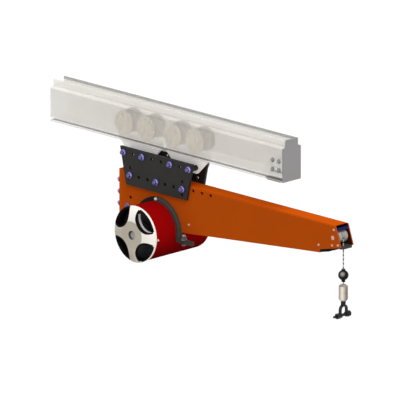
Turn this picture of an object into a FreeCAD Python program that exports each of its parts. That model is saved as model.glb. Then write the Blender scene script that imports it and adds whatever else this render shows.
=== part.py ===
import FreeCAD, Part
import math
import os
import re
import Sketcher
from FreeCAD import Vector

# A rail-hung trolley jib, in millimetres.
# The origin lies on the floor of the rail's top channel at mid length.
# X runs along the rail, Y across it, Z up.

SIZES = {
    # Rail: an enclosed track with a hanger channel on top and a slot below
    "rail_len": 1200,
    "rail_half": 45,
    "head_half": 30,
    "channel_half": 24,
    "lip_top": 20,
    "head_low": 5.5,
    "shoulder_low": 11.5,
    "floor_thick": 8,
    "ceiling_half": 27,
    "inner_half": 40,
    "inner_shoulder_low": 16,
    "corner_low": 108,
    "track_half": 36,
    "track_low": 118.8,
    "groove_top": 122,
    "groove_low": 131,
    "groove_depth": 22,
    "groove_slope": 1,
    "rail_low": 136,
    "slot_half": 14,
    "end_cap_thick": 6,
    # Stop at the closed end of the rail
    "stop_gap": 2,
    "stop_block_len": 60,
    "stop_block_top": 45,
    "stop_block_low": 107,
    "stop_tongue_reach": 55,
    "stop_tongue_lap": 18,
    "stop_tongue_top": 99,
    "stop_tongue_low": 151,
    "stop_tongue_half": 12,
    "stop_tongue_bevel": 8,
    # Trolley: two web plates, each on two axles
    "trolley_x": -53,
    "web_half_thick": 5,
    "web_half_len": 236,
    "web_top": 45,
    "web_slant": 138,
    "web_low": 204,
    "gap_half": 12,
    "gap_slant": 146,
    "axle_near": 68,
    "axle_out": 183,
    "axle_low": 73.5,
    "axle_r": 10,
    "axle_shoulder_r": 15,
    "axle_cap_r": 14,
    "axle_half_len": 35,
    "wheel_r": 45,
    "wheel_width": 16,
    "wheel_mid_y": 25.5,
    "wheel_hub_r": 20,
    "wheel_rim_r": 37,
    "wheel_dish": 3,
    "wheel_dish_slope": 2,
    "wheel_bevel": 2,
    "fit_gap": 0.3,
    # Side plates and the spacers that set them off the webs
    "plate_thick": 10,
    "plate_top": 160,
    "plate_low": 300,
    "plate_top_half": 186.5,
    "plate_low_half": 155.5,
    "bolt_hole_r": 6.5,
    "top_row_low": 181,
    "top_pitch": 48,
    "low_row_low": 261.5,
    "low_pitch": 45,
    "spare_reach": 134,
    "spare_high": 234,
    "spare_low": 283,
    "spacer_r": 10,
    # Arm: a welded box that tapers towards the tip
    "arm_half": 34,
    "side_thick": 5,
    "top_thick": 4,
    "bottom_thick": 5,
    "fold_r": 4,
    "arm_rear": 248,
    "arm_top": 250,
    "arm_rear_low": 460,
    "knee_x": 776,
    "knee_low": 363.5,
    "step_low": 351,
    "tip_top_x": 853,
    "tip_low_x": 880,
    "tip_low": 327,
    "tip_plate_end": 838,
    "rear_cover_thick": 6,
    "rear_hole_x": -196,
    "rear_hole_low": 349,
    "notch_gap": 2,
    # Balancer: a drum housing that lies across the arm
    "balancer_x": -50,
    "tube_r": 103,
    "tube_wall": 7,
    "tube_near_y": 149,
    "tube_far_y": 118,
    "cover_rim": 4,
    "cover_round": 18,
    "cap_lip": 3,
    "cap_rim_deep": 6,
    "cap_wall": 6,
    "cap_deep": 24,
    "cap_hub_r": 52,
    "cap_recess_r": 16,
    "cap_recess_deep": 4,
    "cap_crown_r": 90,
    "window_share": 0.5,
    "window_ring_share": 1,
    "window_rim": 2,
    "flange_y": 120,
    "flange_thick": 10,
    "ring_in": 40,
    "ring_out": 48,
    "ring_deep": 6,
    # Saddle bands that carry the balancer
    "saddle_gap": 18,
    "band_thick": 15,
    "band_width": 14,
    "foot_len": 65,
    "foot_top": 16,
    "foot_low": 30,
    "band_round": 5,
    # Tip: sheave, guard and rope guide
    "sheave_x": 840,
    "sheave_low": 296,
    "rope_ring": 21,
    "rope_r": 2.5,
    "sheave_r": 24,
    "sheave_half": 22,
    "sheave_bevel": 2,
    "groove_mouth": 7,
    "groove_floor": 2.6,
    "sheave_axle_r": 8,
    "guard_rear": 855,
    "guard_front": 859,
    "guard_top": 258,
    "guard_low": 270,
    "guide_rear": 842,
    "guide_front": 884,
    "guide_top": 328,
    "guide_thick": 6,
    "guide_hole_r": 6,
    "guide_bevel": 8,
    "pad_rear_start": 778,
    "pad_rear_end": 819,
    "pad_rear_deep": 11,
    "pad_front_start": 823,
    "pad_front_end": 847,
    "pad_front_deep": 7,
    # Rope run inside the arm
    "rope_start_x": 23,
    "rope_start_low": 350,
    # Load end: ball stop, swivel barrel, clevis
    "ball_r": 19,
    "ball_low": 438,
    "nub_r": 7,
    "nub_top": 415.6,
    "nub_low": 462.7,
    "barrel_top": 473,
    "barrel_low": 532,
    "barrel_r": 17,
    "barrel_neck_r": 10,
    "barrel_bevel": 6,
    "barrel_foot_r": 14,
    "barrel_band_low": 503,
    "barrel_band_half": 2,
    "barrel_band_deep": 1.5,
    "stem_r": 9,
    "stem_top": 512,
    "stem_low": 553,
    "clevis_half": 19.5,
    "clevis_gap_half": 12,
    "clevis_bow_low": 567,
    "clevis_width": 9,
    "eye_r": 9.5,
    "pin_low": 587,
    "pin_r": 5.5,
    "pin_head_r": 11,
    "pin_head_end": 34,
    "pin_head_bevel": 3,
    "pin_tail_r": 4,
    "pin_shank_end": 36,
    "pin_tail_end": 49,
    "nut_corner_r": 10.5,
    "nut_end": 35,
}

doc = FreeCAD.newDocument("rail_jib")
sheet = doc.addObject("Spreadsheet::Sheet", "Dim")
for row, (alias, size) in enumerate(SIZES.items(), 1):
    sheet.set("A%d" % row, alias)
    sheet.set("B%d" % row, str(size))
    sheet.setAlias("B%d" % row, alias)
doc.recompute()

NODES = {}


# Helpers: every size goes in as an expression on the sheet

def tied(text):
    """The same formula with each size name pointed at the sheet."""
    return re.sub(r"[a-z_]+", lambda m: "Dim." + m[0] if m[0] in SIZES else m[0], text)


def body(name, at=None):
    """A new body, placed where the three formulas in at say."""
    made = doc.addObject("PartDesign::Body", name)
    made.Label = name
    for letter, text in zip("xyz", at or ()):
        made.setExpression("Placement.Base." + letter, tied(text))
    NODES[name] = made
    return made


def sketch(part, plane, name, offset=None):
    """An empty sketch on one of the body's own planes, moved along its normal."""
    made = part.newObject("Sketcher::SketchObject", name)
    base = [f for f in part.Origin.OriginFeatures if f.Role == plane][0]
    made.AttachmentSupport = (base, [""])
    made.MapMode = "FlatFace"
    if offset:
        made.setExpression("AttachmentOffset.Base.z", tied(offset))
    doc.recompute()
    return made


def hold(made, kind, geo, end, text):
    """Ties one coordinate of a point to a formula."""
    value = float(made.evalExpression(tied(text)))
    index = made.addConstraint(Sketcher.Constraint(kind, -1, 1, geo, end, value))
    made.setExpression("Constraints[%d]" % index, tied(text))


def bind(made, kind, geo, text):
    """Ties a radius to a formula."""
    value = float(made.evalExpression(tied(text)))
    index = made.addConstraint(Sketcher.Constraint(kind, geo, value))
    made.setExpression("Constraints[%d]" % index, tied(text))


def arc_between(start, end, radius):
    """The shorter arc, bulging to the right of travel, or left if the radius is negative."""
    chord = end - start
    right = Vector(chord.y, -chord.x, 0).normalize()
    rise = abs(radius) - math.sqrt(max(0, radius ** 2 - (chord.Length / 2) ** 2))
    middle = (start + end) * 0.5 + right * math.copysign(rise, radius)
    return Part.ArcOfCircle(start, middle, end)


def outline(made, corners):
    """A closed outline. A corner is (x, y), or (x, y, radius) where an arc follows it.

    A half circle gives its centre's height as a fourth entry in place of the radius tie.
    """
    first = made.GeometryCount
    count = len(corners)
    points = []
    for corner in corners:
        xy = [float(made.evalExpression(tied(text))) for text in corner[:2]]
        points.append(Vector(xy[0], xy[1], 0))
    ends = []
    for i, corner in enumerate(corners):
        start, end = points[i], points[(i + 1) % count]
        if len(corner) == 2:
            made.addGeometry(Part.LineSegment(start, end))
        else:
            radius = float(made.evalExpression(tied(corner[2])))
            made.addGeometry(arc_between(start, end, radius))
        at_start = (made.getPoint(first + i, 1) - start).Length < 0.001
        ends.append((1, 2) if at_start else (2, 1))
    for i in range(count):
        after = (i + 1) % count
        join = (first + i, ends[i][1], first + after, ends[after][0])
        made.addConstraint(Sketcher.Constraint("Coincident", *join))
    for i, corner in enumerate(corners):
        hold(made, "DistanceX", first + i, ends[i][0], corner[0])
        hold(made, "DistanceY", first + i, ends[i][0], corner[1])
        if len(corner) == 4:
            hold(made, "DistanceY", first + i, 3, corner[3])
        elif len(corner) == 3:
            bind(made, "Radius", first + i, corner[2].lstrip("-"))


def rounds(made, circles):
    """Circles, each as centre x, centre y and radius."""
    for x, y, radius in circles:
        centre = [float(made.evalExpression(tied(text))) for text in (x, y)]
        size = float(made.evalExpression(tied(radius)))
        geo = made.addGeometry(Part.Circle(Vector(*centre, 0), Vector(0, 0, 1), size))
        hold(made, "DistanceX", geo, 3, x)
        hold(made, "DistanceY", geo, 3, y)
        bind(made, "Radius", geo, radius)


def pad(part, made, length, symmetric=False):
    """Extrudes a sketch along its normal, or to both sides of it."""
    made_pad = part.newObject("PartDesign::Pad", made.Name + "_pad")
    made_pad.Profile = (made, [""])
    made_pad.SideType = "Symmetric" if symmetric else "One side"
    made_pad.setExpression("Length", tied(length))
    doc.recompute()
    return made_pad


def cut_through(part, made):
    """Cuts a sketch right through the body, along its normal."""
    before = part.Shape.Volume
    cut = part.newObject("PartDesign::Pocket", made.Name + "_cut")
    cut.Profile = (made, [""])
    cut.Type = "ThroughAll"
    cut.SideType = "Symmetric"
    doc.recompute()
    if part.Shape.Volume >= before:
        raise ValueError(made.Name + " cuts nothing")


def bore(part, plane, name, circles):
    """Round holes right through the body, along the plane's normal."""
    made = sketch(part, plane, name)
    rounds(made, circles)
    cut_through(part, made)


def spin(part, plane, name, corners):
    """A turned piece: radius and height pairs, turned about the sketch's upright axis."""
    made = sketch(part, plane, name)
    outline(made, corners)
    turned = part.newObject("PartDesign::Revolution", name + "_turn")
    turned.Profile = (made, [""])
    turned.ReferenceAxis = (made, ["V_Axis"])
    turned.Angle = 360
    doc.recompute()
    return turned


def soften(part, feature, radius, chosen):
    """Rounds the edges that the test picks."""
    names = ["Edge%d" % (i + 1) for i, e in enumerate(feature.Shape.Edges) if chosen(e)]
    if not names:
        raise ValueError(part.Label + " has no such edge")
    made = part.newObject("PartDesign::Fillet", part.Name + "_round")
    made.Base = (feature, names)
    made.setExpression("Radius", tied(radius))
    doc.recompute()


def block(name, low, high):
    """A plain box between two corners given as formulas."""
    made = doc.addObject("Part::Box", name)
    made.Label = name
    for letter, side, a, b in zip("xyz", ("Length", "Width", "Height"), low, high):
        made.setExpression("Placement.Base." + letter, tied(a))
        made.setExpression(side, tied("(%s) - (%s)" % (b, a)))
    NODES[name] = made


def group(name, members):
    """Several like pieces that don't touch, kept as one node."""
    made = doc.addObject("Part::Compound", name)
    made.Label = name
    made.Links = members
    for member in members:
        NODES.pop(member.Label)
    NODES[name] = made


def mirrored(half):
    """The half outline followed by its mirror image."""
    return half + [("-(%s)" % x, y) for x, y in reversed(half)]


# Rail: one extrusion, its end cap and its stop

RAIL_OUTSIDE = [
    ("channel_half", "0"),
    ("channel_half", "lip_top"),
    ("head_half", "lip_top"),
    ("head_half", "-head_low"),
    ("rail_half", "-shoulder_low"),
    ("rail_half", "-groove_top"),
    ("rail_half - groove_depth", "-groove_top - groove_slope"),
    ("rail_half - groove_depth", "-groove_low + groove_slope"),
    ("rail_half", "-groove_low"),
    ("rail_half", "-rail_low"),
]
RAIL_INSIDE = [
    ("slot_half", "-rail_low"),
    ("slot_half", "-track_low"),
    ("track_half", "-track_low"),
    ("inner_half", "-corner_low"),
    ("inner_half", "-inner_shoulder_low"),
    ("ceiling_half", "-floor_thick"),
]
rail = body("rail_extrusion")
section = sketch(rail, "YZ_Plane", "rail_section", "-rail_len / 2")
outline(section, mirrored(RAIL_OUTSIDE + RAIL_INSIDE))
pad(rail, section, "rail_len - end_cap_thick")

cap = body("rail_end_cap")
section = sketch(cap, "YZ_Plane", "rail_cap_face", "rail_len / 2 - end_cap_thick")
outline(section, mirrored([
    ("head_half", "lip_top"),
    ("head_half", "-head_low"),
    ("rail_half", "-shoulder_low"),
    ("rail_half", "-rail_low"),
]))
pad(cap, section, "end_cap_thick")

STOP_FRONT = "rail_len / 2 - end_cap_thick - stop_gap"
STOP_REAR = STOP_FRONT + " - stop_block_len"
TONGUE_REAR = STOP_REAR + " - stop_tongue_reach"
TONGUE_FRONT = STOP_REAR + " + stop_tongue_lap"
stop = body("end_stop")
face = sketch(stop, "XZ_Plane", "stop_block")
outline(face, [
    (STOP_REAR, "-stop_block_top"),
    (STOP_FRONT, "-stop_block_top"),
    (STOP_FRONT, "-stop_block_low"),
    (STOP_REAR, "-stop_block_low"),
])
pad(stop, face, "2 * inner_half", symmetric=True)
face = sketch(stop, "XZ_Plane", "stop_tongue")
outline(face, [
    (TONGUE_REAR, "-stop_tongue_top"),
    (TONGUE_FRONT, "-stop_tongue_top"),
    (TONGUE_FRONT, "-stop_tongue_low"),
    (TONGUE_REAR + " + stop_tongue_bevel", "-stop_tongue_low"),
    (TONGUE_REAR, "-stop_tongue_low + stop_tongue_bevel"),
])
pad(stop, face, "2 * stop_tongue_half", symmetric=True)

# Trolley webs, which hang through the slot, and their axles


def web(name, sign):
    """One web plate: sign is + for the one towards the arm's tip."""
    made = body(name)
    face = sketch(made, "XZ_Plane", name + "_face")

    def out(text):
        return "trolley_x %s (%s)" % (sign, text)

    outline(face, [
        (out("gap_half"), "-web_top"),
        (out("web_half_len"), "-web_top"),
        (out("web_half_len"), "-web_slant"),
        (out("web_half_len - web_low + web_slant"), "-web_low"),
        (out("gap_half + web_low - gap_slant"), "-web_low"),
        (out("gap_half"), "-gap_slant"),
    ])
    pad(made, face, "2 * web_half_thick", symmetric=True)
    bore(made, "XZ_Plane", name + "_holes", [
        (out("axle_near"), "-axle_low", "axle_r"),
        (out("axle_out"), "-axle_low", "axle_r"),
        (out("1.5 * top_pitch"), "-top_row_low", "bolt_hole_r"),
        (out("3.5 * top_pitch"), "-top_row_low", "bolt_hole_r"),
    ])


web("left_web", "-")
web("right_web", "+")

AXLE_XS = [
    "trolley_x - axle_out",
    "trolley_x - axle_near",
    "trolley_x + axle_near",
    "trolley_x + axle_out",
]
WHEEL_IN = "(wheel_mid_y - wheel_width / 2)"
WHEEL_OUT = "(wheel_mid_y + wheel_width / 2)"
AXLE_UPPER = [
    ("axle_r", "web_half_thick"),
    ("axle_shoulder_r", "web_half_thick"),
    ("axle_shoulder_r", WHEEL_IN + " - fit_gap"),
    ("axle_r", WHEEL_IN + " - fit_gap"),
    ("axle_r", WHEEL_OUT + " + fit_gap"),
    ("axle_cap_r", WHEEL_OUT + " + fit_gap"),
    ("axle_cap_r", "axle_half_len"),
    ("0", "axle_half_len"),
]
AXLE_LOWER = [(radius, "-(%s)" % y) for radius, y in reversed(AXLE_UPPER)]
axles = []
for number, x in enumerate(AXLE_XS, 1):
    axle = body("axle_%d" % number, (x, "0", "-axle_low"))
    spin(axle, "XY_Plane", "axle_%d_half" % number, AXLE_LOWER + AXLE_UPPER)
    axles.append(axle)
group("wheel_axles", axles)

# Wheels, dished on both faces

WHEEL_EDGE = [
    ("wheel_r", "wheel_width / 2 - wheel_bevel"),
    ("wheel_r - wheel_bevel", "wheel_width / 2"),
    ("wheel_rim_r", "wheel_width / 2"),
    ("wheel_rim_r - wheel_dish_slope", "wheel_width / 2 - wheel_dish"),
    ("wheel_hub_r + wheel_dish_slope", "wheel_width / 2 - wheel_dish"),
    ("wheel_hub_r", "wheel_width / 2"),
    ("axle_r + fit_gap", "wheel_width / 2"),
]
WHEEL_HALF = [(radius, "-(%s)" % y) for radius, y in reversed(WHEEL_EDGE)] + WHEEL_EDGE
for number, x in enumerate(AXLE_XS, 1):
    for side, y in (("near", "-wheel_mid_y"), ("far", "wheel_mid_y")):
        name = "wheel_%d_%s" % (number, side)
        wheel = body(name, (x, y, "-axle_low"))
        spin(wheel, "XY_Plane", name + "_half", WHEEL_HALF)

# Side plates with their two rows of holes, and the spacers behind the top row

TOP_ROW = ["trolley_x + %.1f * top_pitch" % (k - 3.5) for k in range(8)]
LOW_ROW = ["trolley_x + %d * low_pitch" % k for k in range(-3, 4)]
PLATE_HOLES = (
    [(x, "-top_row_low", "bolt_hole_r") for x in TOP_ROW]
    + [(x, "-low_row_low", "bolt_hole_r") for x in LOW_ROW]
    + [
        ("trolley_x - spare_reach", "-spare_high", "bolt_hole_r"),
        ("trolley_x + spare_reach", "-spare_high", "bolt_hole_r"),
        ("trolley_x + spare_reach", "-spare_low", "bolt_hole_r"),
    ]
)
for name, back in (
    ("near_side_plate", "arm_half"),
    ("far_side_plate", "-arm_half - plate_thick"),
):
    plate = body(name)
    face = sketch(plate, "XZ_Plane", name + "_face", back)
    outline(face, [
        ("trolley_x - plate_top_half", "-plate_top"),
        ("trolley_x + plate_top_half", "-plate_top"),
        ("trolley_x + plate_low_half", "-plate_low"),
        ("trolley_x - plate_low_half", "-plate_low"),
    ])
    pad(plate, face, "plate_thick")
    bore(plate, "XZ_Plane", name + "_holes", PLATE_HOLES)

BOLTED_TOP = [TOP_ROW[i] for i in (0, 2, 5, 7)]
for side, near_end, far_end in (
    ("near", "-arm_half", "-web_half_thick"),
    ("far", "web_half_thick", "arm_half"),
):
    sleeves = []
    for number, x in enumerate(BOLTED_TOP, 1):
        name = "%s_sleeve_%d" % (side, number)
        sleeve = body(name, (x, "0", "-top_row_low"))
        spin(sleeve, "XY_Plane", name + "_half", [
            ("bolt_hole_r", near_end),
            ("spacer_r", near_end),
            ("spacer_r", far_end),
            ("bolt_hole_r", far_end),
        ])
        sleeves.append(sleeve)
    group(side + "_spacers", sleeves)

# Arm: side sheets with a notch for the balancer, and the plates between them

BALANCER_Z = "-(plate_low + saddle_gap + band_thick + tube_r)"
ARM_SLOPE = "((arm_rear_low - knee_low) / (knee_x + arm_rear))"
TIP_SLOPE = "((step_low - tip_low) / (tip_low_x - knee_x))"


def arm_underside(x):
    """The height of the long underside at x."""
    return "-arm_rear_low + (%s + arm_rear) * %s" % (x, ARM_SLOPE)


def tip_underside(x):
    """The height of the tip's rising underside at x."""
    return "-step_low + (%s - knee_x) * %s" % (x, TIP_SLOPE)


ARM_ROW = ["trolley_x + %d * low_pitch" % k for k in range(-3, 7)]
ARM_HOLES = (
    [(x, "-low_row_low", "bolt_hole_r") for x in ARM_ROW]
    + [
        ("rear_hole_x", "-rear_hole_low", "bolt_hole_r"),
        ("sheave_x", "-sheave_low", "sheave_axle_r"),
        ("balancer_x", BALANCER_Z, "tube_r + notch_gap"),
    ]
)
for name, back, outer_y in (
    ("arm_near_side", "arm_half - side_thick", "-arm_half"),
    ("arm_far_side", "-arm_half", "arm_half"),
):
    arm_side = body(name)
    face = sketch(arm_side, "XZ_Plane", name + "_face", back)
    outline(face, [
        ("-arm_rear", "-arm_top"),
        ("tip_top_x", "-arm_top"),
        ("tip_low_x", "-tip_low"),
        ("knee_x", "-step_low"),
        ("knee_x", "-knee_low"),
        ("-arm_rear", "-arm_rear_low"),
    ])
    sheet_pad = pad(arm_side, face, "side_thick")
    edge_y = float(face.evalExpression(tied(outer_y)))
    edge_z = float(face.evalExpression(tied("-arm_top")))
    soften(arm_side, sheet_pad, "fold_r", lambda e: abs(e.CenterOfMass.y - edge_y) < 0.01
           and abs(e.CenterOfMass.z - edge_z) < 0.01)
    bore(arm_side, "XZ_Plane", name + "_holes", ARM_HOLES)

INSIDE = "arm_half - side_thick"
block("arm_top_plate", ("-arm_rear", "-(%s)" % INSIDE, "-arm_top - top_thick"),
      ("tip_top_x", INSIDE, "-arm_top"))
block("arm_rear_cover", ("-arm_rear - rear_cover_thick", "-arm_half", "-arm_rear_low"),
      ("-arm_rear", "arm_half", "-arm_top"))


def underside_plate(name, start, end, height):
    """A bottom plate that follows a sloping underside between two stations."""
    made = body(name)
    face = sketch(made, "XZ_Plane", name + "_face")
    outline(face, [
        (start, height(start)),
        (end, height(end)),
        (end, height(end) + " + bottom_thick"),
        (start, height(start) + " + bottom_thick"),
    ])
    pad(made, face, "2 * (%s)" % INSIDE, symmetric=True)


NOTCH_REACH = "(tube_r + notch_gap)"
underside_plate("arm_rear_bottom", "-arm_rear", "(balancer_x - %s)" % NOTCH_REACH, arm_underside)
underside_plate("arm_front_bottom", "(balancer_x + %s)" % NOTCH_REACH, "knee_x", arm_underside)
underside_plate("arm_tip_bottom", "knee_x", "tip_plate_end", tip_underside)

# Balancer: tube, domed end cap with four windows, what shows behind them, closed far end

AT_BALANCER = ("balancer_x", "0", BALANCER_Z)
tube = body("balancer_tube", AT_BALANCER)
spin(tube, "XY_Plane", "tube_half", [
    ("tube_r - tube_wall", "-tube_near_y"),
    ("tube_r", "-tube_near_y"),
    ("tube_r", "tube_far_y"),
    ("tube_r - tube_wall", "tube_far_y"),
])
cover = body("balancer_rear_cover", AT_BALANCER)
spin(cover, "XY_Plane", "cover_half", [
    ("0", "tube_far_y"),
    ("tube_r", "tube_far_y"),
    ("tube_r", "tube_far_y + cover_rim", "cover_round"),
    ("tube_r - cover_round", "tube_far_y + cover_rim + cover_round"),
    ("0", "tube_far_y + cover_rim + cover_round"),
])
CAP_RIM = "tube_r + cap_lip"
dome = body("balancer_end_cap", AT_BALANCER)
spin(dome, "XY_Plane", "dome_half", [
    ("0", "-tube_near_y - cap_deep + cap_recess_deep"),
    ("cap_recess_r", "-tube_near_y - cap_deep + cap_recess_deep"),
    ("cap_recess_r", "-tube_near_y - cap_deep"),
    ("cap_hub_r", "-tube_near_y - cap_deep", "cap_crown_r"),
    (CAP_RIM, "-tube_near_y - cap_rim_deep"),
    (CAP_RIM, "-tube_near_y"),
    (CAP_RIM + " - cap_wall", "-tube_near_y", "-cap_crown_r"),
    ("cap_hub_r", "-tube_near_y - cap_deep + cap_wall"),
    ("0", "-tube_near_y - cap_deep + cap_wall"),
])
# Each window is a large circle that the rim cuts off
WINDOW = "(window_share * tube_r)"
WINDOW_MID = "(window_ring_share * tube_r)"
RIM = "(%s - window_rim)" % CAP_RIM
ALONG = "(%s ^ 2 + %s ^ 2 - %s ^ 2) / (2 * %s)" % (WINDOW_MID, RIM, WINDOW, WINDOW_MID)
ACROSS = "sqrt(%s ^ 2 - (%s) ^ 2)" % (RIM, ALONG)
corner = ("((%s) + %s) / sqrt(2)" % (ALONG, ACROSS), "((%s) - %s) / sqrt(2)" % (ALONG, ACROSS))
other = (corner[1], corner[0])
windows = sketch(dome, "XZ_Plane", "windows")
for turn in range(4):
    outline(windows, [(*corner, RIM), (*other, WINDOW)])
    corner = ("-(%s)" % corner[1], corner[0])
    other = ("-(%s)" % other[1], other[0])
cut_through(dome, windows)
flange = body("balancer_inner_flange", AT_BALANCER)
spin(flange, "XY_Plane", "flange_half", [
    ("0", "-flange_y"),
    ("tube_r - tube_wall", "-flange_y"),
    ("tube_r - tube_wall", "-flange_y + flange_thick"),
    ("0", "-flange_y + flange_thick"),
])
ring = body("balancer_inner_ring", AT_BALANCER)
spin(ring, "XY_Plane", "ring_half", [
    ("ring_in", "-flange_y - ring_deep"),
    ("ring_out", "-flange_y - ring_deep"),
    ("ring_out", "-flange_y"),
    ("ring_in", "-flange_y"),
])

# Saddle bands: half rings over the tube, the near one with a foot at each end

BAND = "tube_r + band_thick"
FOOT = BAND + " + foot_len"
BAND_OUTER = (BAND, "0", BAND, "0")
BAND_INNER = ("-tube_r", "0", "-tube_r", "0")
FOOTED = [
    ("tube_r", "0"),
    ("tube_r", "-foot_low"),
    (FOOT, "-foot_low"),
    (FOOT, "-foot_top"),
    (BAND, "-foot_top"),
    BAND_OUTER,
    ("-(%s)" % BAND, "0"),
    ("-(%s)" % BAND, "-foot_top"),
    ("-(%s)" % FOOT, "-foot_top"),
    ("-(%s)" % FOOT, "-foot_low"),
    ("-tube_r", "-foot_low"),
    BAND_INNER,
]
PLAIN = [BAND_OUTER, ("-(%s)" % BAND, "0"), BAND_INNER, ("tube_r", "0")]
for name, back, outer_y, corners in (
    ("near_saddle", "arm_half", "-arm_half - band_width", FOOTED),
    ("far_saddle", "-arm_half - band_width", "arm_half + band_width", PLAIN),
):
    saddle = body(name, AT_BALANCER)
    face = sketch(saddle, "XZ_Plane", name + "_face", back)
    outline(face, corners)
    band_pad = pad(saddle, face, "band_width")
    edge_y = float(face.evalExpression(tied(outer_y)))
    edge_r = float(face.evalExpression(tied(BAND)))
    soften(saddle, band_pad, "band_round", lambda e: e.Curve.TypeId == "Part::GeomCircle"
           and abs(e.Curve.Radius - edge_r) < 0.01 and abs(e.CenterOfMass.y - edge_y) < 0.01)

# Tip: sheave on its axle, guard bar, rope guide and underside pads

sheave = body("tip_sheave", ("sheave_x", "0", "-sheave_low"))
SHEAVE_UPPER = [
    ("rope_ring - rope_r - fit_gap", "groove_floor"),
    ("sheave_r", "groove_mouth"),
    ("sheave_r", "sheave_half - sheave_bevel"),
    ("sheave_r - sheave_bevel", "sheave_half"),
    ("sheave_axle_r + fit_gap", "sheave_half"),
]
SHEAVE_LOWER = [(radius, "-(%s)" % y) for radius, y in reversed(SHEAVE_UPPER)]
spin(sheave, "XY_Plane", "sheave_half_section", SHEAVE_LOWER + SHEAVE_UPPER)

axle = body("sheave_axle", ("sheave_x", "0", "-sheave_low"))
face = sketch(axle, "XZ_Plane", "sheave_axle_face")
rounds(face, [("0", "0", "sheave_axle_r")])
pad(axle, face, "2 * arm_half", symmetric=True)

block("tip_guard", ("guard_rear", "-(%s)" % INSIDE, "-guard_low"),
      ("guard_front", INSIDE, "-guard_top"))

guide = body("rope_guide")
face = sketch(guide, "XY_Plane", "guide_face", "-guide_top - guide_thick")
outline(face, [
    ("guide_rear", "-(%s)" % INSIDE),
    ("guide_front - guide_bevel", "-(%s)" % INSIDE),
    ("guide_front", "-(%s) + guide_bevel" % INSIDE),
    ("guide_front", INSIDE + " - guide_bevel"),
    ("guide_front - guide_bevel", INSIDE),
    ("guide_rear", INSIDE),
])
pad(guide, face, "guide_thick")
bore(guide, "XY_Plane", "guide_hole", [("sheave_x + rope_ring", "0", "guide_hole_r")])

pads = []
for name in ("pad_rear", "pad_front"):
    start, end, deep = name + "_start", name + "_end", name + "_deep"
    strip = body(name)
    face = sketch(strip, "XZ_Plane", name + "_face")
    outline(face, [
        (start, tip_underside(start) + " - " + deep),
        (end, tip_underside(end) + " - " + deep),
        (end, tip_underside(end)),
        (start, tip_underside(start)),
    ])
    pad(strip, face, "2 * arm_half", symmetric=True)
    pads.append(strip)
group("tip_pads", pads)

# Rope: the run inside the arm, which bends over the sheave, and the drop

run = body("rope_run")
path = sketch(run, "XZ_Plane", "rope_path")
start = Vector(SIZES["rope_start_x"], -SIZES["rope_start_low"], 0)
hub = Vector(SIZES["sheave_x"], -SIZES["sheave_low"], 0)
over = hub + Vector(0, SIZES["rope_ring"], 0)
circle = Part.Circle(hub, Vector(0, 0, 1), SIZES["rope_ring"])
path.addGeometry(Part.LineSegment(start, over))
path.addGeometry(Part.ArcOfCircle(circle, 0, math.pi / 2))
hold(path, "DistanceX", 0, 1, "rope_start_x")
hold(path, "DistanceY", 0, 1, "-rope_start_low")
hold(path, "DistanceX", 1, 3, "sheave_x")
hold(path, "DistanceY", 1, 3, "-sheave_low")
bind(path, "Radius", 1, "rope_ring")
hold(path, "DistanceY", 1, 1, "-sheave_low")
path.addConstraint(Sketcher.Constraint("Tangent", 0, 2, 1, 2))
circle_face = sketch(run, "XY_Plane", "rope_section", "-sheave_low")
rounds(circle_face, [("sheave_x + rope_ring", "0", "rope_r")])
swept = run.newObject("PartDesign::AdditivePipe", "rope_sweep")
swept.Profile = (circle_face, [""])
swept.Spine = (path, ["Edge1", "Edge2"])
doc.recompute()

ROPE_AXIS = ("sheave_x + rope_ring", "0", "0")
drop = body("rope_drop", ROPE_AXIS)
face = sketch(drop, "XY_Plane", "drop_face", "-barrel_top")
rounds(face, [("0", "0", "rope_r")])
pad(drop, face, "barrel_top - sheave_low")

# Load end: ball stop on the rope, swivel barrel, clevis with its pin and nut

ball = body("ball_stop", ROPE_AXIS)
BALL_CUT = "sqrt(ball_r ^ 2 - nub_r ^ 2)"
spin(ball, "XZ_Plane", "ball_half", [
    ("rope_r", "-nub_low"),
    ("nub_r", "-nub_low"),
    ("nub_r", "-ball_low - " + BALL_CUT, "ball_r"),
    ("nub_r", "-ball_low + " + BALL_CUT),
    ("nub_r", "-nub_top"),
    ("rope_r", "-nub_top"),
])
barrel = body("swivel_barrel", ROPE_AXIS)
spin(barrel, "XZ_Plane", "barrel_half", [
    ("0", "-barrel_top"),
    ("barrel_neck_r", "-barrel_top"),
    ("barrel_r", "-barrel_top - barrel_bevel"),
    ("barrel_r", "-barrel_band_low + barrel_band_half"),
    ("barrel_r - barrel_band_deep", "-barrel_band_low + barrel_band_half"),
    ("barrel_r - barrel_band_deep", "-barrel_band_low - barrel_band_half"),
    ("barrel_r", "-barrel_band_low - barrel_band_half"),
    ("barrel_r", "-barrel_low + barrel_bevel"),
    ("barrel_foot_r", "-barrel_low"),
    ("stem_r + fit_gap", "-barrel_low"),
    ("stem_r + fit_gap", "-stem_top"),
    ("0", "-stem_top"),
])
clevis = body("clevis", ROPE_AXIS)
face = sketch(clevis, "YZ_Plane", "clevis_face")
outline(face, [
    ("clevis_half", "-pin_low"),
    ("clevis_half", "-clevis_bow_low", "clevis_half", "-clevis_bow_low"),
    ("-clevis_half", "-clevis_bow_low"),
    ("-clevis_half", "-pin_low"),
    ("-clevis_gap_half", "-pin_low"),
    ("-clevis_gap_half", "-clevis_bow_low", "-clevis_gap_half", "-clevis_bow_low"),
    ("clevis_gap_half", "-clevis_bow_low"),
    ("clevis_gap_half", "-pin_low"),
])
pad(clevis, face, "clevis_width", symmetric=True)
for name, back in (("near_eye", "clevis_gap_half"), ("far_eye", "-clevis_half")):
    face = sketch(clevis, "XZ_Plane", name, back)
    rounds(face, [("0", "-pin_low", "eye_r")])
    pad(clevis, face, "clevis_half - clevis_gap_half")
face = sketch(clevis, "XY_Plane", "stem_face", "-stem_low")
rounds(face, [("0", "0", "stem_r")])
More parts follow.
